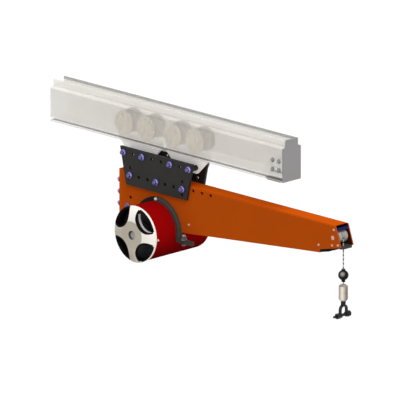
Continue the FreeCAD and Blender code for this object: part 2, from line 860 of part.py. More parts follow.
pad(clevis, face, "stem_low - stem_top - fit_gap")
bore(clevis, "XZ_Plane", "pin_hole", [("0", "-pin_low", "pin_r")])

AT_PIN = ("sheave_x + rope_ring", "0", "-pin_low")
pin = body("clevis_pin", AT_PIN)
spin(pin, "XY_Plane", "pin_half", [
    ("0", "-pin_tail_end"),
    ("pin_tail_r", "-pin_tail_end"),
    ("pin_tail_r", "-pin_shank_end"),
    ("pin_r", "-pin_shank_end"),
    ("pin_r", "clevis_half"),
    ("pin_head_r", "clevis_half"),
    ("pin_head_r", "pin_head_end - pin_head_bevel"),
    ("pin_head_r - pin_head_bevel", "pin_head_end"),
    ("0", "pin_head_end"),
])
nut = body("clevis_nut", AT_PIN)
face = sketch(nut, "XZ_Plane", "nut_face", "clevis_half")
NUT_FLAT = "nut_corner_r * sqrt(3) / 2"
outline(face, [
    ("nut_corner_r", "0"),
    ("nut_corner_r / 2", NUT_FLAT),
    ("-nut_corner_r / 2", NUT_FLAT),
    ("-nut_corner_r", "0"),
    ("-nut_corner_r / 2", "-" + NUT_FLAT),
    ("nut_corner_r / 2", "-" + NUT_FLAT),
])
rounds(face, [("0", "0", "pin_r")])
pad(nut, face, "nut_end - clevis_half")

# Write each piece to its own file

doc.recompute()
os.makedirs("parts", exist_ok=True)
for item in doc.Objects:
    if "Invalid" in item.State or "Error" in item.State:
        raise ValueError(item.Label + " did not build")
for name, item in NODES.items():
    shape = item.Shape
    if shape.isNull() or not shape.isValid() or not shape.Solids:
        raise ValueError(name + " has no valid solid")
    shape.exportStep("parts/%s.step" % name)
    print(name, len(shape.Solids), round(shape.Volume / 1000, 1))
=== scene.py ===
# %% [markdown]
# # Dressing a rail-hung trolley jib
#
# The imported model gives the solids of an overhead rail, the trolley that rolls in it,
# and the orange arm with its drum balancer that hangs below. The solids are already in
# place, in metres, so this lesson only adds what a drawing of solids lacks: paint, cast
# and rolled metal, the bolts that hold it together, and a rope laid from real strands.

# %% Load the frame
import math
import bmesh
import bpy
from mathutils import Matrix, Vector


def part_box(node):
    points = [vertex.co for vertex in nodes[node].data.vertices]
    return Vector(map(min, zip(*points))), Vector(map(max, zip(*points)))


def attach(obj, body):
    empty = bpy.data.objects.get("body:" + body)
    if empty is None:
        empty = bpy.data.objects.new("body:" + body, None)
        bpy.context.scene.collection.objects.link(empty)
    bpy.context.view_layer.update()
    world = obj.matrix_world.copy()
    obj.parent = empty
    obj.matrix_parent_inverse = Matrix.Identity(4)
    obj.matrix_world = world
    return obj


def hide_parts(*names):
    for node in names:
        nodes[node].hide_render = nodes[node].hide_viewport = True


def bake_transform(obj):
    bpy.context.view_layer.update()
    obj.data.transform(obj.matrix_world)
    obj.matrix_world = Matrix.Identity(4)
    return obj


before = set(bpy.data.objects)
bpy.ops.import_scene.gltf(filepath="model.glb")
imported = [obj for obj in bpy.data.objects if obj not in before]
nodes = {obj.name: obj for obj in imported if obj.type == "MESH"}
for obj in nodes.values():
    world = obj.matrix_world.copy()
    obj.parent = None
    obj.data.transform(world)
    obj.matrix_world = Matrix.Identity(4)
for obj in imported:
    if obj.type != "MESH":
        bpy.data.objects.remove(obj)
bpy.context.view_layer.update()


# %% [markdown]
# ## A painted or rolled surface
#
# Paint, cast metal and plastic differ in colour, in how wide their highlight is, and in
# the fine relief that breaks it up. One builder makes all of them from the same three
# noises: broad patches that shift the colour a little, fine grain that moves the
# roughness, and the same grain as relief. Stretching the grain along one axis turns it
# into the drawing lines of an extrusion or the brush marks of turned steel.

# %% Surface builder
COLOUR_FIRST, COLOUR_RESULT = 6, 2    # sockets of a mix node, for colours
NUMBER_FIRST, NUMBER_RESULT = 2, 0    # and for plain numbers


def linear(red, green, blue):
    """A colour as read off a screen, made linear."""
    parts = []
    for value in (red, green, blue):
        v = value / 255
        parts.append(v / 12.92 if v <= 0.04045 else ((v + 0.055) / 1.055) ** 2.4)
    return (*parts, 1.0)


def shader_of(made):
    """The shader node of a material."""
    return made.node_tree.nodes["Principled BSDF"]


def surface(name, colour, shade=0.85, rough=(0.35, 0.5), metal=0.0, patch=9.0,
            grain=500.0, stretch=(1, 1, 1), bump=0.15, depth=0.0002, spec=0.3, alpha=1.0):
    """A material whose colour drifts between the tint and a darker shade of it."""
    made = bpy.data.materials.new(name)
    made.use_nodes = True
    tree = made.node_tree
    shader = shader_of(made)
    place = tree.nodes.new("ShaderNodeTexCoord")
    scale = tree.nodes.new("ShaderNodeMapping")
    scale.inputs["Scale"].default_value = stretch
    broad = tree.nodes.new("ShaderNodeTexNoise")
    broad.name = "broad patches"
    broad.inputs["Scale"].default_value = patch
    broad.inputs["Detail"].default_value = 4
    fine = tree.nodes.new("ShaderNodeTexNoise")
    fine.inputs["Scale"].default_value = grain
    fine.inputs["Detail"].default_value = 3
    tint = tree.nodes.new("ShaderNodeMix")
    tint.data_type = "RGBA"
    tint.inputs[COLOUR_FIRST].default_value = (*[c * shade for c in colour[:3]], 1)
    tint.inputs[COLOUR_FIRST + 1].default_value = colour
    sheen = tree.nodes.new("ShaderNodeMapRange")
    sheen.inputs["To Min"].default_value = rough[0]
    sheen.inputs["To Max"].default_value = rough[1]
    relief = tree.nodes.new("ShaderNodeBump")
    relief.inputs["Strength"].default_value = bump
    relief.inputs["Distance"].default_value = depth
    link = tree.links.new
    link(place.outputs["Object"], scale.inputs["Vector"])
    link(place.outputs["Object"], broad.inputs["Vector"])
    link(scale.outputs["Vector"], fine.inputs["Vector"])
    link(broad.outputs["Fac"], tint.inputs[0])
    link(tint.outputs[COLOUR_RESULT], shader.inputs["Base Color"])
    link(fine.outputs["Fac"], sheen.inputs["Value"])
    link(sheen.outputs["Result"], shader.inputs["Roughness"])
    link(fine.outputs["Fac"], relief.inputs["Height"])
    link(relief.outputs["Normal"], shader.inputs["Normal"])
    shader.inputs["Metallic"].default_value = metal
    shader.inputs["Specular IOR Level"].default_value = spec
    shader.inputs["Alpha"].default_value = alpha
    return made


# %% [markdown]
# ## The finishes
#
# The picture is a studio drawing in which the rail and its trolley are shown see-through,
# so that the wheels appear behind the wall. The rail therefore gets an aluminium with
# drawing lines along its length and an alpha below one. The wheels and webs, which stand
# in its shade, glow a little so that they read through it. Everything that hangs below is
# solid: powder-coated arm, black plates, gloss red tube, sand-cast cap.

# %% Finishes
finish = {
    "rail": surface("drawn_aluminium", linear(230, 224, 216), 0.95, (0.35, 0.5), 0.1,
                    grain=500, stretch=(0.01, 1, 1), bump=0.02, alpha=0.12),
    "web": surface("pale_trolley", linear(252, 251, 249), 0.96, (0.45, 0.6)),
    "wheel": surface("wheel_nylon", linear(255, 250, 234), 0.8, (0.4, 0.55), patch=130,
                     grain=300),
    "far_wheel": surface("wheel_nylon_shaded", linear(148, 140, 130), 0.85, (0.4, 0.55),
                         patch=160, grain=300),
    "end_cap": surface("cap_grey", linear(150, 149, 150), 0.92, (0.5, 0.65), grain=1200),
    "stop": surface("stop_grey", linear(112, 113, 114), 0.92, (0.5, 0.65), grain=1200),
    "black": surface("black_plate", linear(46, 45, 43), 0.8, (0.4, 0.55), grain=700,
                     spec=0.12),
    # Painted light: this orange is lighter than the sheets' so that the rail's shadow on the
    # top plate is lifted.
    "orange": surface("orange_painted_lighter", linear(216, 88, 11), 0.93, (0.38, 0.5),
                      grain=650, bump=0.2, spec=0.0),
    "sheet": surface("orange_sheet", linear(188, 79, 14), 0.93, (0.38, 0.5),
                     grain=650, bump=0.2, spec=0.0),
    "saddle": surface("saddle_grey", linear(68, 69, 65), 0.8, (0.4, 0.55), grain=600,
                      spec=0.06),
    "red": surface("gloss_red", linear(152, 6, 8), 0.85, (0.25, 0.38), grain=350,
                   bump=0.06, spec=0.0),
    "red_cover": surface("gloss_red_cover", linear(152, 6, 8), 0.85, (0.25, 0.38), grain=350,
                         bump=0.06, spec=0.0),
    "cast": surface("sand_cast", linear(255, 251, 242), 0.96, (0.35, 0.5), grain=800,
                    bump=0.3, spec=0.04),
    "lip": surface("lip_grey", linear(204, 201, 198), 0.9, (0.4, 0.55), grain=800),
    "dark": surface("dark_flange", linear(24, 24, 24), 0.7, (0.5, 0.7), grain=500),
    "bright": surface("turned_steel", linear(222, 220, 218), 0.9, (0.2, 0.35), 0.6,
                      grain=900, stretch=(1, 0.05, 1), bump=0.12),
    # The barrel's base tone is darkened so that its sides read as painted shade.
    "ivory": surface("swivel_zinc", linear(136, 127, 118), 0.92, (0.25, 0.4), 0.1,
                     grain=900, stretch=(1, 1, 0.05), bump=0.03),
    "blue_bar": surface("blue_guard", linear(8, 10, 84), 0.8, (0.35, 0.5), 0.1, spec=0.15),
    "plastic": surface("black_plastic", linear(16, 12, 11), 0.8, (0.35, 0.5), grain=900,
                       spec=0.05),
    "oxide": surface("black_oxide", linear(34, 34, 34), 0.75, (0.3, 0.45), 0.2, grain=700,
                     spec=0.2),
    "zinc": surface("violet_zinc", linear(58, 46, 146), 0.75, (0.34, 0.42), 0.15,
                    patch=90, grain=1500, bump=0.1, spec=1.0),
    # Pale flats of the zinc bolts: a painted highlight.
    "zinc_flats": surface("zinc_flats_highlight", linear(206, 200, 244), 0.85, (0.3, 0.4), 0.2,
                          patch=90, grain=1500, bump=0.1, spec=0.6),
    "steel": surface("dark_steel", linear(46, 48, 47), 0.8, (0.26, 0.34), 0.3, grain=900,
                     bump=0.1, spec=1.0),
    "stud": surface("stud_steel", linear(128, 130, 128), 0.85, (0.25, 0.35), 0.4, grain=900,
                    bump=0.1, spec=0.6),
    "pin": surface("pin_zinc", linear(216, 176, 160), 0.85, (0.35, 0.45), 0.3, grain=1500),
    "sheave": surface("sheave_steel", linear(168, 163, 157), 0.85, (0.35, 0.5), 0.3,
                      grain=900, stretch=(1, 0.05, 1), bump=0.12),
    "rubber": surface("ball_rubber", linear(12, 11, 10), 0.8, (0.3, 0.4), grain=900,
                      spec=0.1),
    "rope": surface("rope_wire", linear(214, 214, 211), 0.8, (0.3, 0.5), 0.3, patch=70,
                    grain=2500, stretch=(0.4, 1, 1)),
}
PLATING_IOR = 1.6
GLOWS = {"wheel": (linear(255, 243, 220), 0.22), "web": (linear(255, 253, 250), 0.2)}
shader_of(finish["zinc"]).inputs["IOR"].default_value = PLATING_IOR
for name, (tint, strength) in GLOWS.items():
    shader_of(finish[name]).inputs["Emission Color"].default_value = tint
    shader_of(finish[name]).inputs["Emission Strength"].default_value = strength
print("finishes", len(finish))

# %% [markdown]
# ## Masks from the position
#
# Some pieces carry more than one tone: a tube is red outside and dark inside, a cast cap
# has a turned hub, a sheet is bright only on the face that shows. A mask made from the
# position tells the parts of a piece apart: by the distance from an axis, a point or a
# plane, by a box, by level bands, or by spots of noise. It is one inside and zero outside.

# %% Masks
CRISP = 1e-7
HAIR = 1e-6


def vector_step(tree, operation, first, second=None):
    """One vector operation on a socket."""
    made = tree.nodes.new("ShaderNodeVectorMath")
    made.operation = operation
    tree.links.new(first, made.inputs[0])
    if second is not None:
        made.inputs[1].default_value = second
    return made


def way_from(tree, centre):
    """The way from a centre to the place on the piece."""
    place = tree.nodes.new("ShaderNodeTexCoord").outputs["Object"]
    return vector_step(tree, "SUBTRACT", place, centre).outputs["Vector"]


def reach_of(tree, vector):
    """How long a vector is."""
    return vector_step(tree, "LENGTH", vector).outputs["Value"]


def below(tree, value, limit, soft=CRISP):
    """One where the value is under the limit, else zero; soft is half the edge's width."""
    made = tree.nodes.new("ShaderNodeMapRange")
    made.inputs["From Min"].default_value = limit - soft
    made.inputs["From Max"].default_value = limit + soft
    made.inputs["To Min"].default_value = 1
    made.inputs["To Max"].default_value = 0
    tree.links.new(value, made.inputs["Value"])
    return made.outputs["Result"]


def near_axis(tree, centre, across, limit, soft=CRISP):
    """Marks what lies close to an axis or point: across says which directions count."""
    flat = vector_step(tree, "MULTIPLY", way_from(tree, centre), across).outputs["Vector"]
    return below(tree, reach_of(tree, flat), limit, soft)


def near_plane(tree, centre, way, limit, soft):
    """Marks what lies close to a plane that faces the given way."""
    part = vector_step(tree, "PROJECT", way_from(tree, centre), way).outputs["Vector"]
    return below(tree, reach_of(tree, part), limit, soft)


def in_bands(tree, start, pitch, limit, soft):
    """Marks level bands, one at the starting height and one at every pitch from it."""
    split = tree.nodes.new("ShaderNodeSeparateXYZ")
    tree.links.new(way_from(tree, (0, 0, start)), split.inputs["Vector"])
    swing = tree.nodes.new("ShaderNodeMath")
    swing.operation = "PINGPONG"
    swing.inputs[1].default_value = pitch / 2
    tree.links.new(split.outputs["Z"], swing.inputs[0])
    return below(tree, swing.outputs["Value"], limit, soft)


def in_spots(tree, scale, limit, soft):
    """Marks soft spots of one size, spread at random."""
    place = tree.nodes.new("ShaderNodeTexCoord").outputs["Object"]
    made = tree.nodes.new("ShaderNodeTexNoise")
    made.inputs["Scale"].default_value = scale
    made.inputs["Detail"].default_value = 0
    tree.links.new(place, made.inputs["Vector"])
    return below(tree, made.outputs["Fac"], limit, soft)


def in_box(tree, low, high):
    """Marks what lies in a box."""
    middle = (Vector(low) + Vector(high)) / 2
    half = (Vector(high) - Vector(low)) / 2
    sides = vector_step(tree, "ABSOLUTE", way_from(tree, middle)).outputs["Vector"]
    over = vector_step(tree, "SUBTRACT", sides, half).outputs["Vector"]
    outside = vector_step(tree, "MAXIMUM", over, (0, 0, 0)).outputs["Vector"]
    return below(tree, reach_of(tree, outside), HAIR)


def both(tree, first, second):
    """Marks what two masks share."""
    made = tree.nodes.new("ShaderNodeMath")
    made.operation = "MULTIPLY"
    tree.links.new(first, made.inputs[0])
    tree.links.new(second, made.inputs[1])
    return made.outputs["Value"]


# %% [markdown]
# ## Overlays
#
# An overlay mixes another colour, alpha or glow into a finish where its mask is one. What
# was linked before stays underneath, so overlays lie on each other like coats of paint.
# The new colour drifts with the finish's own broad patches and so keeps its life.

# %% Overlay builder
def drifting(tree, colour, drift):
    """A colour that drifts a little with the material's broad patches."""
    made = tree.nodes.new("ShaderNodeMix")
    made.data_type = "RGBA"
    for place, change in ((COLOUR_FIRST, 1 - drift), (COLOUR_FIRST + 1, 1 + drift)):
        made.inputs[place].default_value = (*[min(1, c * change) for c in colour[:3]], 1)
    tree.links.new(tree.nodes["broad patches"].outputs["Fac"], made.inputs[0])
    return made.outputs[COLOUR_RESULT]


def laid_over(made, mask, name, kind, first, result):
    """Mixes into one of the shader's inputs and returns the socket for the new value."""
    tree = made.node_tree
    target = shader_of(made).inputs[name]
    mix = tree.nodes.new("ShaderNodeMix")
    mix.data_type = kind
    if target.is_linked:
        tree.links.new(target.links[0].from_socket, mix.inputs[first])
    else:
        mix.inputs[first].default_value = target.default_value
    tree.links.new(mask(tree), mix.inputs[0])
    tree.links.new(mix.outputs[result], target)
    return mix.inputs[first + 1]


def overlay(made, mask, colour=None, alpha=None, glow=None, drift=0.08):
    """Gives the marked part of a piece another colour, alpha or glow, or several of them."""
    if colour is not None:
        over = laid_over(made, mask, "Base Color", "RGBA", COLOUR_FIRST, COLOUR_RESULT)
        made.node_tree.links.new(drifting(made.node_tree, colour, drift), over)
    for name, value in (("Alpha", alpha), ("Emission Strength", glow)):
        if value is not None:
            over = laid_over(made, mask, name, "FLOAT", NUMBER_FIRST, NUMBER_RESULT)
            over.default_value = value


# %% [markdown]
# ## Tones of the balancer
#
# The tube is painted dark inside and on its cut end, as shade, and its underside is painted
# in shade as well. The cap is painted in shade on the side away from the light and on the
# face of its turned hub, with a painted dark recess and a painted glint in it. A dark edge of
# painted shade rings its four windows; on the left ones it runs out over the rim. The
# saddle's left half stands in the tube's shade, painted dark.

# %% Balancer tones
ONLY_X, ONLY_Y, ONLY_Z, ROUND_Y = (1, 0, 0), (0, 1, 0), (0, 0, 1), (1, 0, 1)
FAR = 2.0
tube_low, tube_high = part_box("balancer_tube")
drum = (tube_low + tube_high) / 2
drum_radius = (tube_high.z - tube_low.z) / 2
# Painted shade: the tube's underside is darkened, and its inside and cut end are near-black.
SHADE_HEIGHT, TUBE_SKIN, CUT_END = 0.045, 0.0008, 0.0015
TUBE_SHADE = linear(20, 18, 18)
overlay(finish["red"], lambda tree: near_axis(
    tree, tube_low, ONLY_Z, SHADE_HEIGHT, SHADE_HEIGHT), linear(84, 5, 7))
overlay(finish["red"], lambda tree: near_axis(
    tree, drum, ROUND_Y, drum_radius - TUBE_SKIN), TUBE_SHADE)
overlay(finish["red"], lambda tree: near_axis(tree, tube_low, ONLY_Y, CUT_END), TUBE_SHADE)

# Painted shade and light on the cap: shade on the side away from the light, on the hub face
# and in the recess, and a painted highlight, the glint, in the recess.
CAP_DISCS = {
    "shaded side": ((-0.052, 0, -0.052), 0.088, 0.028, linear(200, 191, 176)),
    "hub": ((0, 0, 0), 0.0515, 0.0012, linear(193, 184, 168)),
    "recess": ((0, 0, 0), 0.0165, 1e-4, linear(84, 81, 80)),
    "glint": ((0.0045, 0, -0.001), 0.0128, 0.002, linear(170, 166, 164)),
}
for offset, size, soft, colour in CAP_DISCS.values():
    centre = drum + Vector(offset)
    overlay(finish["cast"], lambda tree: near_axis(tree, centre, ROUND_Y, size, soft), colour)

QUARTERS = [math.radians(quarter) for quarter in (45, 135, 225, 315)]
WINDOW_RADIUS = drum_radius / 2
# Painted shade: a near-black edge round each window, running over the rim on the left ones.
WINDOW_SHADE_WIDTH, WINDOW_SHADE_SOFT, RIM_LEFT = 0.005, 4e-4, 0.0025
for way in QUARTERS:
    centre = drum + Vector((math.cos(way), 0, math.sin(way))) * drum_radius
    reach = drum_radius - RIM_LEFT if math.cos(way) > 0 else FAR
    overlay(finish["cast"], lambda tree: both(
        tree, near_axis(tree, centre, ROUND_Y, WINDOW_RADIUS + WINDOW_SHADE_WIDTH, WINDOW_SHADE_SOFT),
        near_axis(tree, drum, ROUND_Y, reach, WINDOW_SHADE_SOFT)), linear(14, 13, 13))

BAND_SHADE_END = drum.x - 0.012
overlay(finish["saddle"], lambda tree: in_box(
    tree, (-FAR, -FAR, -FAR), (BAND_SHADE_END, FAR, 0)), linear(12, 13, 12))
print("drum radius", round(drum_radius, 4), "cap discs", len(CAP_DISCS))

# %% [markdown]
# ## Tones of the trolley and the arm
#
# The wheels' faces are speckled and their treads are painted dark as shade. Webs and stop are
# see-through where the rail covers them. The arm's sheets are painted dark on their inner
# sides and the top plate on its cut edge at the tip, both as shade.

# %% Trolley and arm tones
SPECKLE_SCALE, SPECKLE_LIMIT, SPECKLE_SOFT = 205, 0.47, 0.03
overlay(finish["wheel"], lambda tree: in_spots(
    tree, SPECKLE_SCALE, SPECKLE_LIMIT, SPECKLE_SOFT), linear(40, 34, 30))
# Painted shade: the wheels' treads and backs are painted dark and glow less than their faces.
FACE_DEPTH = 0.006
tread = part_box("wheel_1_near")[0].y + FACE_DEPTH
overlay(finish["wheel"], lambda tree: in_box(tree, (-FAR, tread, -FAR), (FAR, FAR, FAR)),
        linear(60, 54, 52), glow=0.06)
MOUTH_DEPTH, SHEET_INNER = 0.003, 0.0295
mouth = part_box("arm_top_plate")[1].x
# Painted shade on the top plate's cut edge at the tip.
overlay(finish["orange"], lambda tree: near_axis(tree, (mouth, 0, 0), ONLY_X, MOUTH_DEPTH),
        linear(34, 14, 8))
# Painted shade on the sheets' inner faces.
overlay(finish["sheet"], lambda tree: near_axis(tree, (0, 0, 0), ONLY_Y, SHEET_INNER),
        linear(70, 26, 8))
STOP_COVERED, WEB_COVERED = 0.1405, -0.1225
overlay(finish["stop"], lambda tree: near_axis(tree, (0, 0, 0), ONLY_Z, STOP_COVERED),
        alpha=0.04)
overlay(finish["web"], lambda tree: in_box(tree, (-FAR, -FAR, WEB_COVERED), (FAR, FAR, FAR)),
        alpha=0.18)
print("treads start at", round(tread, 4))

# %% [markdown]
# ## Tones of the load end
#
# The swivel's barrel has a painted highlight down its front, over sides that are painted
# darker as shade, and a darker band at its top; the rubber ball has a painted highlight spot.
# Dark bands along the rope show where its lay turns into the shade.

# %% Load end tones
TO_RIGHT = Vector((1, 1, 0)).normalized()
TO_FRONT = Vector((0.68, -0.68, 0.27))
# Painted highlight: a light streak down the barrel's front; a darker band goes round its top.
STREAK_LEFT, STREAK_HALF, STREAK_SOFT = 0.0045, 0.0074, 0.007
SHOULDER_HEIGHT = 0.006
barrel_low, barrel_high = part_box("swivel_barrel")
highlight_streak = (barrel_low + barrel_high) / 2 - TO_RIGHT * STREAK_LEFT
overlay(finish["ivory"], lambda tree: near_plane(
    tree, highlight_streak, TO_RIGHT, STREAK_HALF, STREAK_SOFT), linear(250, 237, 223), drift=0.02)
shoulder = (-FAR, -FAR, barrel_high.z - SHOULDER_HEIGHT)
overlay(finish["ivory"], lambda tree: in_box(tree, shoulder, (FAR, FAR, FAR)),
        linear(150, 143, 132))
# Painted highlight: a light spot on the ball's front.
SPOT_LEFT, SPOT_UP, SPOT_SIZE = 0.0045, 0.0044, 0.0064
ball_low, ball_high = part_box("ball_stop")
ball_radius = (ball_high.x - ball_low.x) / 2
spot = (ball_low + ball_high) / 2 + TO_FRONT * ball_radius - TO_RIGHT * SPOT_LEFT
spot.z += SPOT_UP
overlay(finish["rubber"], lambda tree: near_axis(
    tree, spot, (1, 1, 1), SPOT_SIZE, SPOT_SIZE), linear(176, 169, 162))
BAND_START, BAND_PITCH, BAND_HALF, BAND_SOFT = -0.347, 0.016, 0.0028, 0.002
overlay(finish["rope"], lambda tree: in_bands(
    tree, BAND_START, BAND_PITCH, BAND_HALF, BAND_SOFT), linear(40, 39, 37))
print("ball radius", round(ball_radius, 4))

# %% [markdown]
# ## How the see-through rail reads
#
# The near wall of the rail is a milky pane, its sloped shoulder, its near lip and its roof
# are painted paler, as light on faces that look up, and the two strips that lie in shade, the
# far lip's inner face and the groove above the bottom edge, read as dark lines of painted
# shade. Boxes that follow the section set these apart. The far wall grows clearer towards the
# left end, where the rail is cut off.

# %% Rail section
rail_low, rail_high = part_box("rail_extrusion")
END_SLACK, SIDE_SLACK = 0.01, 0.001
x0, x1 = rail_low.x - END_SLACK, rail_high.x + END_SLACK
wall = rail_high.y + SIDE_SLACK
WALL_LOW, WALL_TOP, WALL_INNER = -0.1225, -0.011, 0.0355
# Shoulder, near lip and roof are painted paler as light; far lip and groove are painted dark
# as shade.
PANES = {
    "track": ((-0.036, WALL_LOW), (0.036, -0.1), None, 0.03),
    "near wall": ((-wall, WALL_LOW), (-WALL_INNER, WALL_TOP), linear(226, 221, 213), 0.45),
    "near shoulder": ((-wall, -0.0112), (-0.02, 0.0004), linear(236, 231, 224), 0.38),
    "near lip": ((-wall, 0.0004), (-0.02, 0.03), linear(252, 246, 239), 0.42),
    "roof": ((-0.0235, -0.02), (0.0235, 0.0004), linear(240, 236, 230), 0.45),
    "far shoulder": ((0.02, -0.0112), (wall, 0.0105), None, 0.4),
    "far lip": ((0.02, 0.0105), (wall, 0.03), linear(180, 181, 177), 0.72),
    "bottom edge": ((-wall, -0.14), (-0.036, -0.1305), None, 0.4),
    "groove": ((-0.039, -0.1315), (-0.0245, -0.1235), linear(122, 122, 118), 0.8),
}
for (y0, z0), (y1, z1), colour, alpha in PANES.values():
    overlay(finish["rail"], lambda tree: in_box(tree, (x0, y0, z0), (x1, y1, z1)),
            colour, alpha)
FADE_REACH, FADE_SOFT = 0.95, 0.2
overlay(finish["rail"], lambda tree: both(
    tree, in_box(tree, (x0, WALL_INNER, WALL_LOW), (x1, wall, WALL_TOP)),
    near_axis(tree, (x1, 0, 0), ONLY_X, FADE_REACH, FADE_SOFT)), alpha=0.3)
print("rail panes", len(PANES) + 1)

# %% [markdown]
# ## Which piece wears which finish
#
# Each solid keeps its own shape and takes a finish by name. The names say what the piece
# is, so the wheels and the rest of the arm are sorted by their first word.

# %% Finish the solids
BY_NAME = {
    "rail_extrusion": "rail", "rail_end_cap": "end_cap", "end_stop": "stop",
    "left_web": "web", "right_web": "web", "wheel_axles": "wheel",
    "near_side_plate": "black", "far_side_plate": "black",
    "arm_near_side": "sheet", "arm_far_side": "sheet",
    "near_spacers": "black", "far_spacers": "black",
    "near_saddle": "saddle", "far_saddle": "saddle",
    "balancer_tube": "red", "balancer_rear_cover": "red_cover", "balancer_end_cap": "cast",
    # The inner flange and ring take the near-black finish: painted shade inside the tube.
    "balancer_inner_flange": "dark", "balancer_inner_ring": "dark",
    "tip_sheave": "sheave", "sheave_axle": "pin", "tip_guard": "blue_bar",
    "rope_guide": "saddle", "tip_pads": "plastic", "ball_stop": "rubber",
    "rope_run": "sheave", "swivel_barrel": "ivory",
    "clevis": "oxide", "clevis_pin": "oxide", "clevis_nut": "oxide",
}


def wears(name):
    """The finish of a solid: by its full name, or by its first word."""
    if name in BY_NAME:
        return finish[BY_NAME[name]]
    if name.startswith("wheel"):
        return finish["far_wheel" if name.endswith("far") else "wheel"]
    return finish["orange" if name.startswith("arm") else "dark"]


for name, solid in nodes.items():
    solid.data.materials.clear()
    solid.data.materials.append(wears(name))
print("dressed", len(nodes), "solids")


# %% [markdown]
# ## One bolt, many places
#
# All bolts on the jib are hex heads on plain washers in a few sizes. A node group builds one
# from its real sizes, puts a copy on every point it is given, and turns each by a fixed
# random angle, because a wrench never leaves two heads alike. The six flats take a finish of
# their own: on the zinc bolts a pale one that is a painted highlight, and on the studs a dark
# one under a lighter crown that is a painted highlight. The sizes are named inputs, so M8 and
# M12 come from the same group.

# %% Bolt group
CROWN_SHARE = 0.33
WRENCH_SEED = 7


def socket(group, name, kind, default=None):
    """A named input of a node group."""
    made = group.interface.new_socket(name, in_out="INPUT", socket_type=kind)
    if default is not None:
        made.default_value = default


def step(group, kind, **values):
    """A node with some of its sockets set by name."""
    made = group.nodes.new(kind)
    for key, value in values.items():
        made.inputs[key.replace("_", " ")].default_value = value
    return made


def math_node(group, operation, first, second):
    """A sum or product of two sockets or numbers."""
    made = group.nodes.new("ShaderNodeMath")
    made.operation = operation
    for slot, value in zip(made.inputs, (first, second)):
        if isinstance(value, (int, float)):
            slot.default_value = value
        else:
            group.links.new(value, slot)
    return made.outputs[0]


def lifted(group, mesh, height):
    """The mesh moved up by a socket's value."""
    up = group.nodes.new("ShaderNodeCombineXYZ")
    group.links.new(height, up.inputs["Z"])
    move = group.nodes.new("GeometryNodeTransform")
    group.links.new(mesh, move.inputs["Geometry"])
    group.links.new(up.outputs["Vector"], move.inputs["Translation"])
    return move.outputs["Geometry"]


